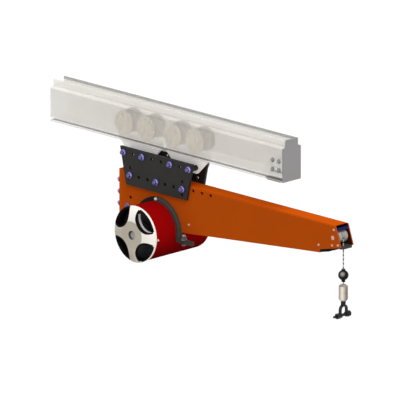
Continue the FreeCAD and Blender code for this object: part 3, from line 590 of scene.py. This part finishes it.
def bolt_group():
    """Points in, bolts out: washer, hex head and its chamfered crown."""
    group = bpy.data.node_groups.new("hex_bolt", "GeometryNodeTree")
    socket(group, "Points", "NodeSocketGeometry")
    socket(group, "Across Flats", "NodeSocketFloat", 0.019)
    socket(group, "Head Height", "NodeSocketFloat", 0.0075)
    socket(group, "Washer Radius", "NodeSocketFloat", 0.012)
    socket(group, "Washer Height", "NodeSocketFloat", 0.0025)
    socket(group, "Turn", "NodeSocketVector")
    socket(group, "Finish", "NodeSocketMaterial")
    socket(group, "Flats", "NodeSocketMaterial")
    group.interface.new_socket("Bolts", in_out="OUTPUT", socket_type="NodeSocketGeometry")
    given = group.nodes.new("NodeGroupInput").outputs
    link = group.links.new

    washer = step(group, "GeometryNodeMeshCylinder", Vertices=40)
    link(given["Washer Radius"], washer.inputs["Radius"])
    link(given["Washer Height"], washer.inputs["Depth"])
    washer_up = math_node(group, "MULTIPLY", given["Washer Height"], 0.5)

    corner = math_node(group, "DIVIDE", given["Across Flats"], math.sqrt(3))
    shank = math_node(group, "MULTIPLY", given["Head Height"], 0.5)
    hexagon = step(group, "GeometryNodeMeshCylinder", Vertices=6)
    link(corner, hexagon.inputs["Radius"])
    link(shank, hexagon.inputs["Depth"])
    marked = step(group, "GeometryNodeStoreNamedAttribute", Name="flat")
    marked.data_type = "BOOLEAN"
    marked.domain = "FACE"
    marked.inputs["Value"].default_value = True
    link(hexagon.outputs["Mesh"], marked.inputs["Geometry"])
    link(hexagon.outputs["Side"], marked.inputs["Selection"])
    half_shank = math_node(group, "MULTIPLY", shank, 0.5)
    hexagon_up = math_node(group, "ADD", half_shank, given["Washer Height"])

    crown = step(group, "GeometryNodeMeshCone", Vertices=24)
    crown_foot = math_node(group, "MULTIPLY", given["Across Flats"], 0.5)
    crown_top = math_node(group, "MULTIPLY", given["Across Flats"], CROWN_SHARE)
    link(crown_foot, crown.inputs["Radius Bottom"])
    link(crown_top, crown.inputs["Radius Top"])
    link(math_node(group, "MULTIPLY", given["Head Height"], 0.5), crown.inputs["Depth"])
    rounded = group.nodes.new("GeometryNodeSetShadeSmooth")
    link(crown.outputs["Mesh"], rounded.inputs["Geometry"])
    link(crown.outputs["Side"], rounded.inputs["Selection"])
    crown_up = math_node(group, "ADD", shank, given["Washer Height"])

    joined = group.nodes.new("GeometryNodeJoinGeometry")
    link(lifted(group, washer.outputs["Mesh"], washer_up), joined.inputs[0])
    link(lifted(group, marked.outputs["Geometry"], hexagon_up), joined.inputs[0])
    link(lifted(group, rounded.outputs["Geometry"], crown_up), joined.inputs[0])

    spread = group.nodes.new("GeometryNodeInstanceOnPoints")
    link(given["Points"], spread.inputs["Points"])
    link(joined.outputs["Geometry"], spread.inputs["Instance"])
    aim = group.nodes.new("FunctionNodeEulerToRotation")
    link(given["Turn"], aim.inputs["Euler"])
    link(aim.outputs["Rotation"], spread.inputs["Rotation"])
    chance = group.nodes.new("FunctionNodeRandomValue")
    chance.data_type = "FLOAT"
    chance.inputs["Seed"].default_value = WRENCH_SEED
    floats = [s for s in chance.inputs if s.type == "VALUE" and s.enabled]
    floats[1].default_value = math.pi / 3
    twist = group.nodes.new("ShaderNodeCombineXYZ")
    link([s for s in chance.outputs if s.enabled][0], twist.inputs["Z"])
    wrench = group.nodes.new("GeometryNodeRotateInstances")
    link(spread.outputs["Instances"], wrench.inputs["Instances"])
    link(twist.outputs["Vector"], wrench.inputs["Rotation"])
    real = group.nodes.new("GeometryNodeRealizeInstances")
    link(wrench.outputs["Instances"], real.inputs["Geometry"])
    painted = group.nodes.new("GeometryNodeSetMaterial")
    link(real.outputs["Geometry"], painted.inputs["Geometry"])
    link(given["Finish"], painted.inputs["Material"])
    # The flats take their own finish: on zinc bolts a pale painted highlight, on studs a dark
    # steel under a lighter crown that is a painted highlight.
    sides = step(group, "GeometryNodeInputNamedAttribute", Name="flat")
    sides.data_type = "BOOLEAN"
    flat_sides = group.nodes.new("GeometryNodeSetMaterial")
    link(painted.outputs["Geometry"], flat_sides.inputs["Geometry"])
    link(sides.outputs["Attribute"], flat_sides.inputs["Selection"])
    link(given["Flats"], flat_sides.inputs["Material"])
    out = group.nodes.new("NodeGroupOutput")
    link(flat_sides.outputs["Geometry"], out.inputs["Bolts"])
    return group


BOLT = bolt_group()
print("bolt group nodes", len(BOLT.nodes))


# %% [markdown]
# ## From points to plain meshes
#
# The group is put on a small mesh of points, its inputs are set, and the result is read
# back as a plain mesh, so that nothing live is left on the piece.

# %% Placing helper
TURNS = {
    "-Y": (math.pi / 2, 0, 0), "+Y": (-math.pi / 2, 0, 0), "-X": (0, -math.pi / 2, 0),
    "+X": (0, math.pi / 2, 0), "+Z": (0, 0, 0), "-Z": (math.pi, 0, 0),
}
SIZE_NAMES = ("Across Flats", "Head Height", "Washer Radius", "Washer Height")
SIZES = {
    "M12": (0.019, 0.0115, 0.0125, 0.0025), "M12 stud": (0.019, 0.017, 0.012, 0.003),
    "M10": (0.017, 0.007, 0.0105, 0.002), "M8": (0.013, 0.0055, 0.0085, 0.0018),
    "M6": (0.0105, 0.0045, 0.0065, 0.0015), "M5": (0.008, 0.0035, 0.005, 0.001),
}


def run_group(name, group, points, values):
    """A plain mesh object from a node group run on some points."""
    mesh = bpy.data.meshes.new(name + "_points")
    mesh.from_pydata(points, [], [])
    seed = bpy.data.objects.new(name + "_seed", mesh)
    bpy.context.collection.objects.link(seed)
    modifier = seed.modifiers.new("build", "NODES")
    modifier.node_group = group
    for item in group.interface.items_tree:
        if item.in_out == "INPUT" and item.name in values:
            modifier[item.identifier] = values[item.name]
    bpy.context.view_layer.update()
    shown = seed.evaluated_get(bpy.context.evaluated_depsgraph_get())
    plain = bpy.data.meshes.new_from_object(shown)
    bpy.data.objects.remove(seed)
    made = bpy.data.objects.new(name, plain)
    bpy.context.collection.objects.link(made)
    return made


def bolts(name, size, facing, spots, body, wear="zinc"):
    """Hex bolts at spots given in millimetres, facing one way."""
    # Zinc bolts take pale flats, a painted highlight; studs take dark flats under a lighter
    # crown, also a painted highlight.
    flats = finish[{"zinc": "zinc_flats", "stud": "steel"}.get(wear, wear)]
    values = dict(zip(SIZE_NAMES, SIZES[size]))
    values.update(Turn=TURNS[facing], Finish=finish[wear], Flats=flats)
    points = [Vector(spot) / 1000 for spot in spots]
    made = run_group(name, BOLT, points, values)
    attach(made, body)
    print(name, len(spots), "bolts,", len(made.data.polygons), "faces")


# %% [markdown]
# ## The bolts of the side plates
#
# Seven bolts clamp the two plates: four through the trolley's webs, three through the
# arm. They carry a violet-blue zinc plating, the strongest accent in the picture. The
# plates' outer faces give the seats, so the heads sit on them without any fitting.

# %% Plate bolts
near_low, near_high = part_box("near_side_plate")
TOP_PITCH, TOP_Z, LOW_PITCH, LOW_Z = 48, -181.0, 135, -261.5
mid_x = (near_low.x + near_high.x) * 500
TOP_XS = [mid_x + TOP_PITCH * k for k in (-3.5, -1.5, 1.5, 3.5)]
LOW_XS = [mid_x + LOW_PITCH * k for k in (-1, 0, 1)]
ROWS = [(x, TOP_Z) for x in TOP_XS] + [(x, LOW_Z) for x in LOW_XS]
near_y = near_low.y * 1000
far_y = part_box("far_side_plate")[1].y * 1000
bolts("plate_bolts", "M12", "-Y", [(x, near_y, z) for x, z in ROWS], "trolley")
bolts("plate_nuts", "M12", "+Y", [(x, far_y, z) for x, z in ROWS], "trolley")

# %% [markdown]
# ## The arm's smaller bolts
#
# Six bolts close the rear cover. At the tip, small bolts through both side sheets hold
# the sheave's axle, the guard and the rope guide. One on each side of the balancer ties
# the saddle's bracket inside the arm.

# %% Arm bolts
side_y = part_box("arm_near_side")[0].y * 1000
rear_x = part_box("arm_rear_cover")[0].x * 1000
REAR = [(rear_x, y, z) for y in (-24, 24) for z in (-293, -338, -383)]
bolts("rear_cover_bolts", "M12", "-X", REAR, "trolley")
TIP = [(847, -265), (838, -325), (770, -336), (868, -319)]
BRACKET_BOLT, BRACKET_SCREW = (-210, -383), (107, -393)
SIDES = (("near", "-Y", side_y), ("far", "+Y", -side_y))
for side, facing, y in SIDES:
    bolts("tip_bolts_" + side, "M5", facing, [(x, y, z) for x, z in TIP], "trolley",
          "pin")
for side, facing, y in SIDES:
    bolts("bracket_bolt_" + side, "M10", facing, [(BRACKET_BOLT[0], y, BRACKET_BOLT[1])],
          "trolley")
    bolts("bracket_screw_" + side, "M5", facing, [(BRACKET_SCREW[0], y, BRACKET_SCREW[1])],
          "trolley", "pin")

# %% [markdown]
# ## Saddle and stop bolts
#
# Each saddle foot is held by an upright bolt, and a screw at the crown of each band goes
# into the balancer's tube. Two small screws sit left and right in the tube's rim. At the
# closed end of the rail, four bolts in the wall hold the stop.

# %% Saddle and stop bolts
saddle_low, saddle_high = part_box("near_saddle")
axis_x = (saddle_low.x + saddle_high.x) * 500
band_y = (saddle_low.y + saddle_high.y) * 500
face_y = saddle_low.y * 1000
foot_low = saddle_low.z * 1000
FOOT_REACH, FOOT_THICK, CROWN_DROP = 136, 14, 6
FEET = [(axis_x + side * FOOT_REACH, band_y) for side in (-1, 1)]
bolts("saddle_foot_bolts", "M12 stud", "+Z", [(x, y, foot_low + FOOT_THICK) for x, y in FEET],
      "trolley", "stud")
bolts("saddle_foot_nuts", "M10", "-Z", [(x, y, foot_low) for x, y in FEET], "trolley",
      "steel")
screw_z = saddle_high.z * 1000 - CROWN_DROP
bolts("saddle_screw_near", "M6", "-Y", [(axis_x, face_y, screw_z)], "trolley",
      "bright")
bolts("saddle_screw_far", "M6", "+Y", [(axis_x, -face_y, screw_z)], "trolley",
      "bright")
RIM_BACK, RIM_DROP, RIM_SINK = 8, 5, 0.0003
rim_y = tube_low.y * 1000 + RIM_BACK
RIM_SCREWS = (("right", "+X", tube_high.x - RIM_SINK), ("left", "-X", tube_low.x + RIM_SINK))
for side, facing, x in RIM_SCREWS:
    bolts("rim_screw_" + side, "M5", facing, [(x * 1000, rim_y, drum.z * 1000 - RIM_DROP)],
          "trolley", "bright")
wall_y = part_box("rail_extrusion")[0].y * 1000
STOP = [(x, wall_y, z) for x in (546, 578) for z in (-59, -93)]
bolts("stop_bolts", "M8", "-Y", STOP, "rail", "end_cap")

# %% [markdown]
# ## Lip and shade bars of the windows
#
# Inside the cap's upper right window a pale lip follows the hub's side of the opening. It is
# an arc of the window's own circle, laid a little behind the cap; it goes only into this
# window, where light falls on it, so its pale tone is partly painted light. Under the rim of
# every window a dark bar of painted shade closes the slit between the rim and the tube. Both
# are bars of four corners that are swept round an axis and let into the wall at both ends.

# %% Lip and shade bars
SWEEP_STEPS = 28


def swept(shape, axis, middle_turn, spread, corners, finish_place):
    """A closed bar: corners given as radius and depth, swept round an axis along Y."""
    rows = []
    for part in range(SWEEP_STEPS + 1):
        turn = middle_turn + spread * (part / SWEEP_STEPS - 0.5)
        rows.append([shape.verts.new((axis.x + math.cos(turn) * radius, tube_low.y + deep,
                                      axis.z + math.sin(turn) * radius))
                     for radius, deep in corners])
    bar = [shape.faces.new(rows[0]), shape.faces.new(rows[-1])]
    for row, following in zip(rows, rows[1:]):
        for k in range(4):
            j = (k + 1) % 4
            bar.append(shape.faces.new((row[k], row[j], following[j], following[k])))
    for face in bar:
        face.material_index = finish_place


def bar_corners(inner, outer, front, rear):
    """The four corners of a bar's section."""
    return ((inner, front), (inner, rear), (outer, rear), (outer, front))


LIP_THICK, LIP_FRONT, LIP_REAR, LIP_SPREAD = 0.0016, -0.0105, -0.001, math.radians(108)
# The dark bars in the slits under the rims are painted shade.
SLIT_SHADE_IN, SLIT_SHADE_OUT, SLIT_SHADE_FRONT, SLIT_SHADE_REAR = 0.001, 0.0013, -0.0012, -0.0002
SLIT_SHADE_SPREAD = math.radians(62)
PALE, DARK = 0, 1
shape = bmesh.new()
# The pale lip goes only into the lit upper right window: a wall of the window, its pale tone
# partly painted light.
upper_right = QUARTERS[0]
swept(shape, drum + Vector((1, 0, 1)).normalized() * drum_radius, upper_right + math.pi,
      LIP_SPREAD, bar_corners(WINDOW_RADIUS - LIP_THICK, WINDOW_RADIUS, LIP_FRONT, LIP_REAR),
      PALE)
for way in QUARTERS:
    swept(shape, drum, way, SLIT_SHADE_SPREAD, bar_corners(
        drum_radius - SLIT_SHADE_IN, drum_radius + SLIT_SHADE_OUT, SLIT_SHADE_FRONT, SLIT_SHADE_REAR), DARK)
bmesh.ops.recalc_face_normals(shape, faces=shape.faces)
mesh = bpy.data.meshes.new("window_lips")
shape.to_mesh(mesh)
shape.free()
mesh.materials.append(finish["lip"])
mesh.materials.append(finish["dark"])
lips = bpy.data.objects.new("window_lips", mesh)
bpy.context.collection.objects.link(lips)
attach(lips, "trolley")
print("lip and shade bars", len(mesh.polygons), "faces")

# %% [markdown]
# ## A rope of laid strands
#
# The rope is six strands twisted round a straight core. The strands touch when each is
# half as thick as the circle they lie on, which fixes both radii from the rope's own
# radius. A spiral curve makes one strand, copies turned about the axis make the rest.

# %% Rope group
def rope_group():
    """Strands of one lay around a core, from the origin upwards."""
    group = bpy.data.node_groups.new("laid_rope", "GeometryNodeTree")
    socket(group, "Points", "NodeSocketGeometry")
    socket(group, "Length", "NodeSocketFloat", 0.1)
    socket(group, "Rope Radius", "NodeSocketFloat", 0.0025)
    socket(group, "Lay Turns", "NodeSocketFloat", 5.0)
    socket(group, "Strands", "NodeSocketInt", 6)
    socket(group, "Finish", "NodeSocketMaterial")
    group.interface.new_socket("Rope", in_out="OUTPUT", socket_type="NodeSocketGeometry")
    given = group.nodes.new("NodeGroupInput").outputs
    link = group.links.new
    ring = math_node(group, "MULTIPLY", given["Rope Radius"], 2 / 3)
    strand = math_node(group, "MULTIPLY", given["Rope Radius"], 1 / 3)
    spiral = step(group, "GeometryNodeCurveSpiral", Resolution=20)
    link(given["Lay Turns"], spiral.inputs["Rotations"])
    link(ring, spiral.inputs["Start Radius"])
    link(ring, spiral.inputs["End Radius"])
    link(given["Length"], spiral.inputs["Height"])
    places = group.nodes.new("GeometryNodePoints")
    link(given["Strands"], places.inputs["Count"])
    index = group.nodes.new("GeometryNodeInputIndex").outputs["Index"]
    share = math_node(group, "DIVIDE", index, given["Strands"])
    angle = group.nodes.new("ShaderNodeCombineXYZ")
    link(math_node(group, "MULTIPLY", share, 2 * math.pi), angle.inputs["Z"])
    aim = group.nodes.new("FunctionNodeEulerToRotation")
    link(angle.outputs["Vector"], aim.inputs["Euler"])
    copies = group.nodes.new("GeometryNodeInstanceOnPoints")
    link(places.outputs["Points"], copies.inputs["Points"])
    link(spiral.outputs["Curve"], copies.inputs["Instance"])
    link(aim.outputs["Rotation"], copies.inputs["Rotation"])
    real = group.nodes.new("GeometryNodeRealizeInstances")
    link(copies.outputs["Instances"], real.inputs["Geometry"])
    core = group.nodes.new("GeometryNodeCurvePrimitiveLine")
    top = group.nodes.new("ShaderNodeCombineXYZ")
    link(given["Length"], top.inputs["Z"])
    link(top.outputs["Vector"], core.inputs["End"])
    fine_core = step(group, "GeometryNodeResampleCurve", Count=60)
    link(core.outputs["Curve"], fine_core.inputs["Curve"])
    all_curves = group.nodes.new("GeometryNodeJoinGeometry")
    link(real.outputs["Geometry"], all_curves.inputs[0])
    link(fine_core.outputs["Curve"], all_curves.inputs[0])
    section = step(group, "GeometryNodeCurvePrimitiveCircle", Resolution=8)
    link(strand, section.inputs["Radius"])
    solid = step(group, "GeometryNodeCurveToMesh", Fill_Caps=True)
    link(all_curves.outputs["Geometry"], solid.inputs["Curve"])
    link(section.outputs["Curve"], solid.inputs["Profile Curve"])
    smooth = group.nodes.new("GeometryNodeSetShadeSmooth")
    link(solid.outputs["Mesh"], smooth.inputs["Geometry"])
    painted = group.nodes.new("GeometryNodeSetMaterial")
    link(smooth.outputs["Geometry"], painted.inputs["Geometry"])
    link(given["Finish"], painted.inputs["Material"])
    out = group.nodes.new("NodeGroupOutput")
    link(painted.outputs["Geometry"], out.inputs["Rope"])
    return group


ROPE = rope_group()
print("rope group nodes", len(ROPE.nodes))


# %% [markdown]
# ## The drop to the load
#
# The drop leaves the sheave level with its axle and ends in the swivel. When the balancer
# lowers the load, the upper end stays at the sheave and the lower end goes down. Here the
# strands are built over the imported drop, which is then hidden.

# %% Rope drop
LAY_LENGTH = 0.032
drop_low, drop_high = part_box("rope_drop")
length = drop_high.z - drop_low.z
rope = run_group("rope_strands", ROPE, [(0, 0, 0)], {
    "Length": length, "Rope Radius": (drop_high.x - drop_low.x) / 2,
    "Lay Turns": length / LAY_LENGTH, "Strands": 6, "Finish": finish["rope"]})
foot = Vector(((drop_low.x + drop_high.x) / 2, (drop_low.y + drop_high.y) / 2, drop_low.z))
rope.data.transform(Matrix.Translation(foot))
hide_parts("rope_drop")
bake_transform(rope)
print("rope faces", len(rope.data.polygons))

# %% [markdown]
# ## Floor and background
#
# The picture stands on white. Floor and sky are white only for the rays that the eye
# follows, straight, mirrored or through glass. For all other rays they are greyer, so that
# they don't bleach the paint. The floor lies below the lowest place of the hook.

# %% Floor and background
def looked_at(tree):
    """One for what the eye sees, straight, mirrored or through glass, else zero."""
    path = tree.nodes.new("ShaderNodeLightPath").outputs
    seen = path["Is Camera Ray"]
    for other in ("Is Glossy Ray", "Is Transmission Ray"):
        made = tree.nodes.new("ShaderNodeMath")
        made.operation = "MAXIMUM"
        tree.links.new(seen, made.inputs[0])
        tree.links.new(path[other], made.inputs[1])
        seen = made.outputs["Value"]
    return seen


FLOOR_Z = -2.62
FLOOR_SIZE = 30
FLOOR_GREY, FLOOR_WHITE = (0.6, 0.6, 0.59, 1), (0.99, 0.99, 0.99, 1)
bpy.ops.mesh.primitive_plane_add(size=FLOOR_SIZE, location=(0, 0, FLOOR_Z))
floor = bpy.context.object
floor.name = "studio_floor"
floor_look = surface("pale_floor", FLOOR_GREY, 0.98, (0.8, 0.9), spec=0.0)
overlay(floor_look, looked_at, FLOOR_WHITE, drift=0)
floor.data.materials.append(floor_look)

SKY_DIM, SKY_SEEN = 0.45, 1
world = bpy.data.worlds.new("studio")
bpy.context.scene.world = world
world.use_nodes = True
sky = world.node_tree
glow = sky.nodes.new("ShaderNodeMapRange")
glow.inputs["To Min"].default_value = SKY_DIM
glow.inputs["To Max"].default_value = SKY_SEEN
sky.links.new(looked_at(sky), glow.inputs["Value"])
sky.nodes["Background"].inputs["Color"].default_value = (1, 1, 1, 1)
sky.links.new(glow.outputs["Result"], sky.nodes["Background"].inputs["Strength"])
print("floor at", FLOOR_Z)

# %% [markdown]
# ## Two suns
#
# The key light stands high on the right of the camera, and a weak one on the left opens
# the shadows. Both are as wide as a softbox near by, so no shadow has a hard edge.

# %% Lights
SUNS = {
    "key": (2.2, (0.55, -0.25, 0.8), 55),
    "fill": (0.35, (-0.6, -0.8, 0.3), 40),
}
for name, (energy, towards, spread) in SUNS.items():
    sun = bpy.data.lights.new(name, "SUN")
    sun.energy = energy
    sun.angle = math.radians(spread)
    lamp = bpy.data.objects.new(name, sun)
    lamp.rotation_euler = Vector(towards).to_track_quat("Z", "Y").to_euler()
    bpy.context.collection.objects.link(lamp)
print("suns", len(SUNS))

# %% [markdown]
# ## A nearly parallel view
#
# The picture is a parallel view from the front right, 15.6 degrees up. A very long lens
# from far away comes within a hair of that: its distance follows from the half width that
# it has to show and from its half angle.

# %% Camera
TARGET = Vector((0.06453, 0.06425, -0.327))
AZIMUTH = math.radians(45.04)
ELEVATION = math.radians(15.61)
HALF_WIDTH = 0.7281
HALF_ANGLE = math.radians(0.65)
back = Vector((math.sin(AZIMUTH) * math.cos(ELEVATION),
               -math.cos(AZIMUTH) * math.cos(ELEVATION), math.sin(ELEVATION)))
eye = bpy.data.cameras.new("eye")
eye.sensor_width = 36
eye.lens = eye.sensor_width / 2 / math.tan(HALF_ANGLE)
eye.clip_start = 10
eye.clip_end = 200
camera = bpy.data.objects.new("eye", eye)
camera.location = TARGET + back * (HALF_WIDTH / math.tan(HALF_ANGLE))
camera.rotation_euler = back.to_track_quat("Z", "Y").to_euler()
bpy.context.collection.objects.link(camera)
bpy.context.scene.camera = camera
bpy.context.scene.view_settings.view_transform = "Standard"
print("camera at", [round(c, 2) for c in camera.location])
